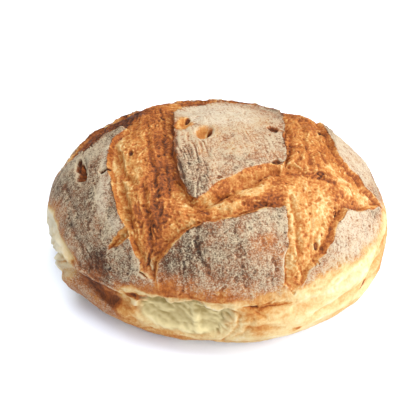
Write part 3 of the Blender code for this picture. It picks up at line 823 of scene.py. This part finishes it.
def torn_edge(points):
    """Distance and way to the nearest torn side, and the floor's drop and slope's run there."""
    nearest = np.full(len(points), FARTHEST_SIDE)
    way = np.zeros_like(points)
    drop = np.zeros(len(points))
    run = np.zeros(len(points))
    total = np.full(len(points), 1e-9)
    for side in OUTER_SIDES + CENTRE_SIDES:
        line = on_crown(side.points)
        close = np.flatnonzero(close_to(points, line, FARTHEST_SIDE))
        distance, place = nearest_on(points[close], line)
        weight = 1 / (distance + MM) ** SIDE_BLEND_POWER
        closer = distance < nearest[close]
        way[close[closer]] = place[closer] - points[close[closer]]
        nearest[close] = np.minimum(nearest[close], distance)
        drop[close] += weight * side.drop * MM
        run[close] += weight * side.run * MM
        total[close] += weight
    way /= np.sqrt(np.einsum("ij,ij->i", way, way))[:, None] + 1e-9
    return nearest, way, drop / total, run / total


def ragged(points):
    """The points moved about a little, so that what is measured from them has a ragged edge."""
    moved = points.copy()
    for size, reach in RAGGED:
        moved[:, 0] += reach * noise_at(points, size, 11)
        moved[:, 1] += reach * noise_at(points, size, 12)
    return moved


def crease_depth(points, line, crease, uneven):
    """How deep a crack of uneven width and depth cuts at each point."""
    depth = np.zeros(len(points))
    close = close_to(points, line, CREASE_REACH * crease.width * MM)
    distance, _ = nearest_on(points[close], line)
    width = crease.width * MM * (LEAST_CREASE_WIDTH + CREASE_WIDENING * uneven[close])
    depth[close] = crease.depth * MM * uneven[close] * np.exp(-((distance / width) ** 2))
    return depth


def crease_relief(points):
    """Cracks of the crown."""
    uneven = 1 + layered_noise(points, CREASE_UNEVEN)
    depths = [crease_depth(points, on_crown(crease.points), crease, uneven) for crease in CREASES]
    return -np.max(depths, axis=0)


def unrolled(points):
    """The flank unrolled: distance round the loaf, height and nothing."""
    bearing = np.arctan2(points[:, 1], points[:, 0])
    return np.stack([bearing * FLANK_RADIUS, points[:, 2], np.zeros(len(points))], axis=1)


def flank_crease_relief(points):
    """Folds where the stretched dough of the flank creased."""
    flat = unrolled(points)
    flat[:, 0] += FOLD_WANDER * noise_at(points, FOLD_WANDER_SIZE, 33)
    flat[:, 1] += FOLD_WANDER * noise_at(points, FOLD_WANDER_SIZE, 34)
    uneven = 1 + layered_noise(points, FOLD_UNEVEN)
    depths = []
    for crease in FLANK_CREASES:
        bearing, height = np.transpose(crease.points)
        line = np.stack([np.radians(bearing) * FLANK_RADIUS, height * MM, 0 * height], axis=1)
        depths.append(crease_depth(flat, line, crease, uneven))
    return -np.max(depths, axis=0)


def hole_share(points):
    """How deep each point lies in a burst bubble or slit, in metres."""
    depth = np.zeros(len(points))
    uneven = HOLE_UNEVEN * noise_at(points, HOLE_RIM_SIZE, 41)
    for hole in HOLES:
        depth += hole.depth * MM * smooth((HOLE_EDGE - (oval_reach(points, hole) + uneven)) / HOLE_BLEND)
    return depth


def down_cut_share(points):
    """1 where the floor tore down the two long cuts, 0 where it tore across between them."""
    return smooth((np.abs(points[:, 0] - MIDDLE_OF_CUTS) - HALF_CROSS_CUT) / CROSS_CUT_BLEND)


def strands(points, width, length, seed):
    """Ridges from 0 to 1 along the way that the floor tore."""
    bends = [noise_at(points, STRAND_BEND_SIZE * width, seed + axis) for axis in range(3)]
    bent = points + STRAND_BEND * width * np.stack(bends, axis=1)
    down = noise_at(bent, (width, length, length), seed + 4, turned=False)
    across = noise_at(bent, (length, width, width), seed + 5, turned=False)
    share = down_cut_share(points)
    return 1 - np.abs(down * share + across * (1 - share)) * STRAND_SHARPNESS


def torn_floor_relief(points, distance):
    """Strands, blisters and small pits of the torn floors."""
    away = smooth(distance / TORN_BLEND)
    raised = sum(one.height * (strands(points, one.width, one.length, one.seed) - 0.5) for one in STRANDS)
    pits = smooth((noise_at(points, TORN_PIT_SIZE, 71) - TORN_PIT_FROM) / TORN_PIT_BLEND)
    lumps = noise_at(points, TORN_LUMP_SIZE, 73)
    return away * (raised - TORN_PIT_DEPTH * pits + TORN_LUMP_HEIGHT * lumps)


def skin_relief(points):
    """Wrinkles, blisters and floury grain of the plates of skin."""
    waves = WAVE_HEIGHT * rough_noise_at(points, WAVE_SIZE, 83)
    dents = DENT_DEPTH * smooth((noise_at(points, DENT_SIZE, 85) - DENT_FROM) / DENT_BLEND)
    wrinkled = LEAST_WRINKLED + smooth(WRINKLED_REACH - oval_reach(points, WRINKLED))
    slanted = points.copy()
    slanted[:, 0] += WRINKLE_SLANT * points[:, 1] + WRINKLE_WANDER * noise_at(points, WRINKLE_WANDER_SIZE, 86)
    wrinkles = np.zeros(len(points))
    for one in WRINKLES:
        size = (one.width, one.length, one.length)
        wrinkles += one.height * np.abs(noise_at(slanted, size, one.seed, turned=False))
    return layered_noise(points, FLOUR_RELIEF) + waves - dents - WRINKLE_DEPTH * wrinkled * (0.5 - wrinkles)


def stretch_marks(points):
    """Slanting strands, from -1 to 1, along which the dough of the flank stretched."""
    flat = unrolled(points)
    flat[:, 1] += layered_noise(points, STRETCH_WANDER) - STRETCH_SLANT * flat[:, 0]
    marks = np.zeros(len(points))
    for one in STRETCHES:
        marks += one.height * noise_at(flat, (one.length, one.width, MM), one.seed, turned=False)
    return marks


def flank_texture(points, stretched):
    """Stretched skin of the flank: slanting strands, lumps and grain."""
    lumps = FLANK_LUMP_HEIGHT * rough_noise_at(points, FLANK_LUMP_SIZE, 94)
    return STRETCH_HEIGHT * stretched + layered_noise(points, FLANK_GRAIN) + lumps


def crumb_reach(points):
    """How far each point is from the middle of the patch torn down to the crumb: 1 at its ragged edge."""
    off = within_half_turn(degrees_round(points) - CRUMB_PLACE[0])
    reach = np.hypot(off / CRUMB_HALF[0], (points[:, 2] / MM - CRUMB_PLACE[1]) / CRUMB_HALF[1])
    return reach + layered_noise(points, CRUMB_RAGGED)


def crumb_share(points):
    """1 on the torn crumb, 0 outside its ragged edge."""
    return smooth((CRUMB_EDGE - crumb_reach(points)) / CRUMB_EDGE_BLEND)


def crumb_folds(points):
    """Slanting folds of the torn crumb, from 0 to 1, and finer threads, from -1 to 1."""
    flat = unrolled(points)
    bends = [noise_at(points, CRUMB_BEND_SIZE, 105 + axis) for axis in range(3)]
    bent = flat + CRUMB_BEND * np.stack(bends, axis=1)
    bent[:, 1] += CRUMB_SLANT * bent[:, 0]
    folds = np.abs(noise_at(bent, CRUMB_FOLD_SIZE, 103, turned=False))
    return folds, noise_at(bent, CRUMB_THREAD_SIZE, 104, turned=False)


def crumb_relief(points):
    """The torn crumb: sunk most under the skin's edge, with webs of gluten between shallow cells."""
    folds, threads = crumb_folds(points)
    low, high = CRUMB_UNDERCUT
    sunk = CRUMB_DEPTH * (LEAST_SUNK + smooth((points[:, 2] - low) / (high - low)))
    sunk += CRUMB_FOLD_DEPTH * folds + CRUMB_THREAD_DEPTH * threads
    rim = np.exp(-(((crumb_reach(points) - CRUMB_RIM_REACH) / CRUMB_RIM_WIDTH) ** 2))
    return crumb_share(points) * (form_relief(points, CRUMB_CELLS) - sunk) + CRUMB_RIM * rim


def dense_ball():
    """A cube cut finely into squares, selected all over and cut again, then left as the active object."""
    bpy.ops.object.select_all(action="DESELECT")
    bpy.ops.mesh.primitive_cube_add(size=2)
    ball = bpy.context.object
    bpy.ops.object.mode_set(mode="EDIT")
    bpy.ops.mesh.select_all(action="SELECT")
    for _ in range(CUBE_ROUNDS):
        bpy.ops.mesh.subdivide(number_cuts=CUTS_EACH_ROUND)
    bpy.ops.object.mode_set(mode="OBJECT")
    return ball


def places_of(mesh):
    flat = np.empty(len(mesh.vertices) * 3, np.float32)
    mesh.vertices.foreach_get("co", flat)
    return flat.reshape(-1, 3).astype(np.float64)


def set_places(mesh, places):
    mesh.vertices.foreach_set("co", places.astype(np.float32).ravel())
    mesh.update()


def normals_of(mesh):
    flat = np.empty(len(mesh.vertices) * 3, np.float32)
    mesh.vertex_normals.foreach_get("vector", flat)
    return flat.reshape(-1, 3).astype(np.float64)


def paint(mesh, name, values):
    """Keeps a number on each point of the mesh, for the crust material to read."""
    layer = mesh.attributes.new(name, "FLOAT", "POINT")
    layer.data.foreach_set("value", values.astype(np.float32))


def tone_values(points, base, tones, reach_of):
    """Browning and flour at each point, painted over by one tone after another."""
    bake = np.full(len(points), base[0])
    flour = np.full(len(points), base[1])
    for tone in tones:
        weight = tone.strength * smooth((TONE_EDGE - reach_of(points, tone)) / TONE_BLEND)
        bake += weight * (tone.bake - bake)
        flour += weight * (tone.flour - flour)
    return bake, flour


def crown_reach(points, tone):
    """How far each point is from the middle of a tone on the crown: 1 at its edge."""
    return oval_reach(points, tone, share=1)


def flank_reach(points, tone):
    """How far each point is from the middle of a tone on the flank: 1 at its edge."""
    height = points[:, 2] / MM
    off = within_half_turn(degrees_round(points) - tone.x + tone.turn * (height - tone.y))
    return np.hypot(off / tone.length, (height - tone.y) / tone.width)


def at_skin_end(points):
    """Height above the wavy line where the crown's skin ends, its browning there and the flour it keeps."""
    bearing = degrees_round(points)
    bearings, *ends = zip(*SKIN_ENDS)
    height, bake, kept = (np.interp(bearing, bearings, values) for values in ends)
    return points[:, 2] - (height * MM + layered_noise(points, SKIN_END_WAVES)), bake, kept


def model_loaf():
    """The loaf's fine mesh, with its relief raised and its browning, flour and tears painted on it."""
    loaf = dense_ball()
    mesh = loaf.data
    cube = places_of(mesh)
    ball = np.tan(cube * math.pi / 4)
    ball /= np.linalg.norm(ball, axis=1)[:, None]
    points = place_on_loaf(ball)
    set_places(mesh, points)
    normals = normals_of(mesh)

    on_top = points[:, 2] > SKIN_BOTTOM
    top = points[on_top]
    worn = ragged(top)
    opened = in_open_cut(worn)
    distance, way, drop, run = torn_edge(worn)
    crown_blend = smooth((top[:, 2] - SKIN_BOTTOM) / SKIN_BLEND)
    holes = hole_share(top)
    crown = cut_relief(top, opened, distance, drop, run) + ledge_relief(worn, opened)
    crown += hollow_relief(top) + crease_relief(worn) - holes
    crown += np.where(opened, torn_floor_relief(top, distance), skin_relief(top))

    above, end_bake, flour_kept = at_skin_end(points)
    skin = smooth(above / SKIN_END_BLEND + 0.5)
    relief = flank_relief(points) + swell_relief(points) + flank_crease_relief(points)
    relief += crumb_relief(points) * (1 - skin)
    stretched = stretch_marks(points)
    relief += flank_texture(points, stretched) * (1 - skin)
    relief[on_top] += crown * crown_blend
    relief *= smooth(points[:, 2] / FOOT_BLEND)
    ear = EAR_REACH * np.exp(-((distance / EAR_WIDTH) ** 2)) * crown_blend
    ear *= ~opened * (run < WIDEST_LIPPED_RUN) * smooth((top[:, 2] - EAR_FROM) / EAR_BLEND)
    moved = points + normals * relief[:, None]
    moved[on_top] += way * ear[:, None]
    moved[:, 2] = np.where(points[:, 2] < FLAT_WITHIN, 0, np.maximum(moved[:, 2], FLAT_WITHIN))
    set_places(mesh, moved)

    marks = {name: np.zeros(len(points)) for name in ("torn", "wall", "edge", "hole")}
    marks["above"], marks["end_bake"], marks["flour_kept"] = above, end_bake, flour_kept
    marks["stretched"] = stretched
    marks["torn"][on_top] = opened
    marks["edge"][on_top] = np.exp(-distance / EDGE_WIDTH) * crown_blend
    marks["wall"][on_top] = opened * np.exp(-((distance / WALL_WIDTH) ** 2))
    # How deep each point lies in a hole: painted shade and bare crust there
    marks["hole"][on_top] = np.clip(holes / HOLE_SHADE_DEPTH, 0, 1)
    paint_crust(mesh, points, skin, marks)
    # How hollow each point is, which the crust material turns into painted shade in cracks and crumb hollows
    # and into thinner flour there
    paint(mesh, "hollow", np.clip(hollowness(mesh) / HOLLOW_SCALE, -1, 1))
    finish_mesh(loaf)
    return loaf


def paint_crust(mesh, points, skin, marks):
    """Browning, flour and crumb of every point, with painted shade in the holes and on the torn crumb."""
    wandering = points.copy()
    for axis in range(3):
        for size, reach, seed in TONE_WANDER:
            wandering[:, axis] += reach * noise_at(points, size, seed + axis)
    skin_bake, skin_flour = tone_values(wandering, SKIN_BASE, SKIN_TONES, crown_reach)
    floor_bake, floor_flour = tone_values(wandering, FLOOR_BASE, FLOOR_TONES, crown_reach)
    flank_bake, flank_flour = tone_values(wandering, FLANK_BASE, FLANK_TONES, flank_reach)
    flank_bake -= STRETCH_BAKE * marks["stretched"]
    patches = smooth(FOOT_PATCHED + layered_noise(points, FOOT_PATCHES))
    foot = (1 - smooth(points[:, 2] / FOOT_BAKED)) * patches
    flank_bake += foot * (FOOT_BAKE - flank_bake)
    under = 1 - smooth(points[:, 2] / UNDER_EDGE)
    flank_bake += under * (UNDER_BAKE - flank_bake)
    near_end = 1 - smooth(marks["above"] / SKIN_END_FADE)
    skin_bake += near_end * (marks["end_bake"] - skin_bake)
    kept = marks["flour_kept"]
    skin_flour *= kept + (1 - kept) * smooth(marks["above"] / FLOUR_FADE)
    torn, edge, hole = marks["torn"], marks["edge"], marks["hole"]
    floor_bake += WALL_SHARE * marks["wall"] * (WALL_BAKE - floor_bake)
    crown_bake = skin_bake + torn * (floor_bake - skin_bake)
    crown_flour = skin_flour + torn * (floor_flour - skin_flour)
    bake = flank_bake + skin * (crown_bake - flank_bake)
    flour = flank_flour + skin * (crown_flour - flank_flour)
    bake += (1 + skin) / 2 * layered_noise(points, BAKE_WAVES)
    bake += edge * (1 - torn) * skin * (EDGE_BAKE - bake)
    # Painted shade in the holes
    bake += hole * (HOLE_SHADE - bake)
    flour *= (1 - EDGE_BARE * edge) * (1 - hole)
    crumb = crumb_share(points) * (1 - skin)
    # On the torn crumb the browning carries painted shade instead: dark under the skin's edge and in its sunk
    # folds and threads
    crumb_shade, _ = tone_values(wandering, CRUMB_SHADE_BASE, CRUMB_SHADE_TONES, flank_reach)
    folds, threads = crumb_folds(points)
    bake += crumb * (crumb_shade + CRUMB_FOLD_SHADE * (folds + threads - CRUMB_SHADE_MIDDLE) - bake)
    for name, values in (("bake", bake), ("flour", flour), ("torn", torn), ("crumb", crumb)):
        paint(mesh, name, values)


def hollowness(mesh):
    """How far each point lies below the average of the points round it: deep in cracks, below 0 on ridges."""
    count = len(mesh.vertices)
    ends = np.empty(len(mesh.edges) * 2, np.int32)
    mesh.edges.foreach_get("vertices", ends)
    one, other = ends.reshape(-1, 2).T
    places = places_of(mesh)
    neighbours = np.bincount(one, minlength=count) + np.bincount(other, minlength=count)
    even = places
    for _ in range(HOLLOW_ROUNDS):
        even = np.stack([
            np.bincount(one, even[other, axis], count) + np.bincount(other, even[one, axis], count)
            for axis in range(3)
        ], axis=1) / neighbours[:, None]
    return np.einsum("ij,ij->i", even - places, normals_of(mesh))


def finish_mesh(loaf):
    """Thins the mesh where it is even, shades it smooth and fits it to the solid's box."""
    thinning = loaf.modifiers.new("thinning", "DECIMATE")
    thinning.ratio = LOAF_TRIANGLES / (2 * len(loaf.data.polygons))
    bpy.ops.object.modifier_apply(modifier=thinning.name)
    places = places_of(loaf.data)
    middle = (places.min(axis=0) + places.max(axis=0)) / 2
    low, high = (np.array(corner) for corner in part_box("loaf"))
    shift = (low + high) / 2 - middle
    places[:, :2] += shift[:2]
    size = places.max(axis=0) - places.min(axis=0)
    fit = np.minimum((high - low) / size, 1)
    set_places(loaf.data, np.clip(places * fit, low, high))
    bpy.ops.object.select_all(action="DESELECT")
    loaf.select_set(True)
    bpy.ops.object.shade_smooth()


def linear(hex_colour):
    """A linear colour with alpha from an sRGB hex value."""
    parts = [int(hex_colour[i:i + 2], 16) / 255 for i in (1, 3, 5)]
    return (*(((p + 0.055) / 1.055) ** 2.4 if p > 0.04045 else p / 12.92 for p in parts), 1.0)


def add_node(tree, kind, inputs, output=0, **settings):
    """Adds a node with its settings and inputs, which are values or linked sockets, and gives one output."""
    added = tree.nodes.new(kind)
    for name, value in settings.items():
        setattr(added, name, value)
    for name, value in inputs.items():
        if isinstance(value, bpy.types.NodeSocket):
            tree.links.new(value, added.inputs[name])
        else:
            added.inputs[name].default_value = value
    return added.outputs[output]


# Crust from unbaked dough to burnt: browning and colour
BAKE_STOPS = [
    (0.00, "#CCC2A8"),
    (0.18, "#C3AA79"),
    (0.34, "#B07F44"),
    (0.48, "#9A5822"),
    (0.62, "#7D3F15"),
    (0.78, "#542B11"),
    (1.00, "#261209"),
]
HAZE_COLOUR = "#6C6051"
FLOUR_COLOUR = "#AD9F84"
THICK_FLOUR_COLOUR = "#B8AE9A"
CRUMB_COLOUR = "#CABA8B"
# Dark olive crumb, for its cells and for its painted shade
CRUMB_CELL_AND_SHADE_COLOUR = "#8F7C4C"


def crust_material():
    """Baked wheat crust: brown and matt where flour lies on it, golden and faintly glossy where it tore open,
    pale and silky where the dough stretched, with the dry grain of flour and the pores of crumb."""
    material = bpy.data.materials.new("baked wheat crust")
    material.use_nodes = True
    tree = material.node_tree
    shader = tree.nodes["Principled BSDF"]
    node = partial(add_node, tree)
    place = node("ShaderNodeTexCoord", {}, "Object")
    bake, flour, torn, crumb, hollow = (
        node("ShaderNodeAttribute", {}, "Fac", attribute_name=name)
        for name in ("bake", "flour", "torn", "crumb", "hollow")
    )
    speck, mottle, fibre = (
        node(
            "ShaderNodeTexNoise",
            {"Vector": place, "Scale": 1000 / size, "Detail": detail, "Roughness": roughness},
            "Fac",
        )
        for size, detail, roughness in (FLOUR_GRAIN, MOTTLE, FIBRE)
    )

    fibrous = node("ShaderNodeMath", {0: torn, 1: TORN_SPECK_BAKE, 2: SPECK_BAKE}, operation="MULTIPLY_ADD")
    spread = node("ShaderNodeMath", {0: fibre, 1: -0.5}, operation="ADD")
    spread = node("ShaderNodeMath", {0: spread, 1: fibrous}, operation="MULTIPLY")
    spread = node("ShaderNodeMath", {0: spread, 1: -MOTTLE_BAKE / 2}, operation="ADD")
    spread = node("ShaderNodeMath", {0: mottle, 1: MOTTLE_BAKE, 2: spread}, operation="MULTIPLY_ADD")
    # Painted shade: darker in cracks, lighter on ridges
    spread = node("ShaderNodeMath", {0: hollow, 1: CRACK_SHADE, 2: spread}, operation="MULTIPLY_ADD")
    spreads = node("ShaderNodeMapRange", {"Value": bake, "From Max": FULL_SPREAD_BAKE, "To Min": PALE_SPREAD})
    browning = node("ShaderNodeMath", {0: spread, 1: spreads, 2: bake}, operation="MULTIPLY_ADD")
    browned = node("ShaderNodeValToRGB", {"Fac": browning})
    stops = browned.node.color_ramp.elements
    while len(stops) < len(BAKE_STOPS):
        stops.new(0.5)
    for stop, (position, colour) in zip(stops, BAKE_STOPS):
        stop.position = position
        stop.color = linear(colour)

    haze = node("ShaderNodeMath", {0: flour, 1: HAZE_COVER}, operation="MULTIPLY")
    hazed = node("ShaderNodeMix", {0: haze, 6: browned, 7: linear(HAZE_COLOUR)}, 2, data_type="RGBA")
    dusting = node("ShaderNodeMath", {0: flour, 1: -(DUSTING_GRAIN + DUSTING_MOTTLE) / 2}, operation="ADD")
    dusting = node("ShaderNodeMath", {0: speck, 1: DUSTING_GRAIN, 2: dusting}, operation="MULTIPLY_ADD")
    dusting = node("ShaderNodeMath", {0: mottle, 1: DUSTING_MOTTLE, 2: dusting}, operation="MULTIPLY_ADD")
    dusting = node("ShaderNodeMath", {0: dusting, 1: hollow}, operation="SUBTRACT")
    low, high = DUSTING_LIMITS
    limits = {"From Min": low, "From Max": high, "To Max": FLOUR_COVER}
    cover = node("ShaderNodeMapRange", {"Value": dusting, **limits})
    floury = node("ShaderNodeMapRange", {"Value": flour, "From Max": FLOURY_FROM})
    cover = node("ShaderNodeMath", {0: cover, 1: floury}, operation="MULTIPLY")
    low, high = THICK_FLOUR
    thick = node("ShaderNodeMapRange", {"Value": flour, "From Min": low, "From Max": high})
    colours = {0: thick, 6: linear(FLOUR_COLOUR), 7: linear(THICK_FLOUR_COLOUR)}
    flour_colour = node("ShaderNodeMix", colours, 2, data_type="RGBA")
    dusted = node("ShaderNodeMix", {0: cover, 6: hazed, 7: flour_colour}, 2, data_type="RGBA")

    cells = node("ShaderNodeTexVoronoi", {"Vector": place, "Scale": 1000 / CRUMB_CELL}, feature="SMOOTH_F1")
    light = node("ShaderNodeMath", {0: cells, 1: CRUMB_CELL_LIGHT, 2: CRUMB_LIGHT}, operation="MULTIPLY_ADD")
    # Painted shade: the crumb darkens in its hollows and where its painted shade, carried in the browning, is
    # high
    light = node("ShaderNodeMath", {0: hollow, 1: -CRUMB_HOLLOW_SHADE, 2: light}, operation="MULTIPLY_ADD")
    light = node("ShaderNodeMath", {0: bake, 1: -CRUMB_BAKE_SHADE, 2: light}, operation="MULTIPLY_ADD")
    light = node("ShaderNodeClamp", {"Value": light})
    colours = {0: light, 6: linear(CRUMB_CELL_AND_SHADE_COLOUR), 7: linear(CRUMB_COLOUR)}
    crumb_colour = node("ShaderNodeMix", colours, 2, data_type="RGBA")
    colour = node("ShaderNodeMix", {0: crumb, 6: dusted, 7: crumb_colour}, 2, data_type="RGBA")

    limits = {"To Min": SKIN_ROUGHNESS, "To Max": TORN_ROUGHNESS}
    roughness = node("ShaderNodeMapRange", {"Value": torn, **limits})
    height = node("ShaderNodeMath", {0: speck, 1: SPECK_HEIGHT, 2: fibre}, operation="MULTIPLY_ADD")
    bump = node("ShaderNodeBump", {"Height": height, "Distance": GRAIN_HEIGHT * MM, "Strength": 1.0})
    for name, socket in (("Base Color", colour), ("Roughness", roughness), ("Normal", bump)):
        tree.links.new(socket, shader.inputs[name])
    shader.inputs["Specular IOR Level"].default_value = CRUST_SPECULAR
    return material


def floor_material():
    """Matt white studio board."""
    material = bpy.data.materials.new("white studio board")
    material.use_nodes = True
    shader = material.node_tree.nodes["Principled BSDF"]
    shader.inputs["Base Color"].default_value = linear(FLOOR_COLOUR)
    shader.inputs["Roughness"].default_value = 0.9
    shader.inputs["Specular IOR Level"].default_value = 0.0
    return material


def lay_floor():
    """The plain white floor that the loaf stands on."""
    bpy.ops.object.select_all(action="DESELECT")
    bpy.ops.mesh.primitive_plane_add(size=8)
    floor = bpy.context.object
    floor.name = "studio floor"
    floor.data.materials.append(floor_material())


def hang_lamp(lamp):
    """A square soft lamp that points at the loaf's middle."""
    data = bpy.data.lights.new(lamp.name, "AREA")
    data.size = lamp.size
    data.energy = lamp.watts
    hung = bpy.data.objects.new(lamp.name, data)
    hung.location = lamp.place
    hung.rotation_euler = (Vector(LOOK_AT) - Vector(lamp.place)).to_track_quat("-Z", "Y").to_euler()
    bpy.context.scene.collection.objects.link(hung)


def light_studio():
    """Soft lamps all round and above, strongest from the right, in a dim white room."""
    for lamp in LAMPS:
        hang_lamp(lamp)
    world = bpy.data.worlds.new("white room")
    world.use_nodes = True
    background = world.node_tree.nodes["Background"]
    background.inputs["Color"].default_value = linear(ROOM_COLOUR)
    background.inputs["Strength"].default_value = ROOM_STRENGTH
    bpy.context.scene.world = world


def set_camera():
    """The photograph's view: from the front, 40 degrees down."""
    pitch = math.radians(CAMERA_PITCH)
    back = Vector((0, -math.cos(pitch), math.sin(pitch)))
    up = Vector((0, math.sin(pitch), math.cos(pitch)))
    data = bpy.data.cameras.new("camera")
    data.lens = CAMERA_LENS
    data.sensor_width = 36
    camera = bpy.data.objects.new("camera", data)
    aim = Vector(LOOK_AT) + Vector((1, 0, 0)) * CAMERA_SIDE + up * CAMERA_RAISE
    camera.location = aim + back * CAMERA_DISTANCE
    camera.rotation_euler = back.to_track_quat("Z", "Y").to_euler()
    bpy.context.scene.collection.objects.link(camera)
    bpy.context.scene.camera = camera


loaf = model_loaf()
loaf.name = "country_loaf"
loaf.data.materials.clear()
loaf.data.materials.append(crust_material())
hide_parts("loaf")
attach(loaf, "root")
lay_floor()
light_studio()
set_camera()
bpy.context.scene.view_settings.view_transform = "Standard"
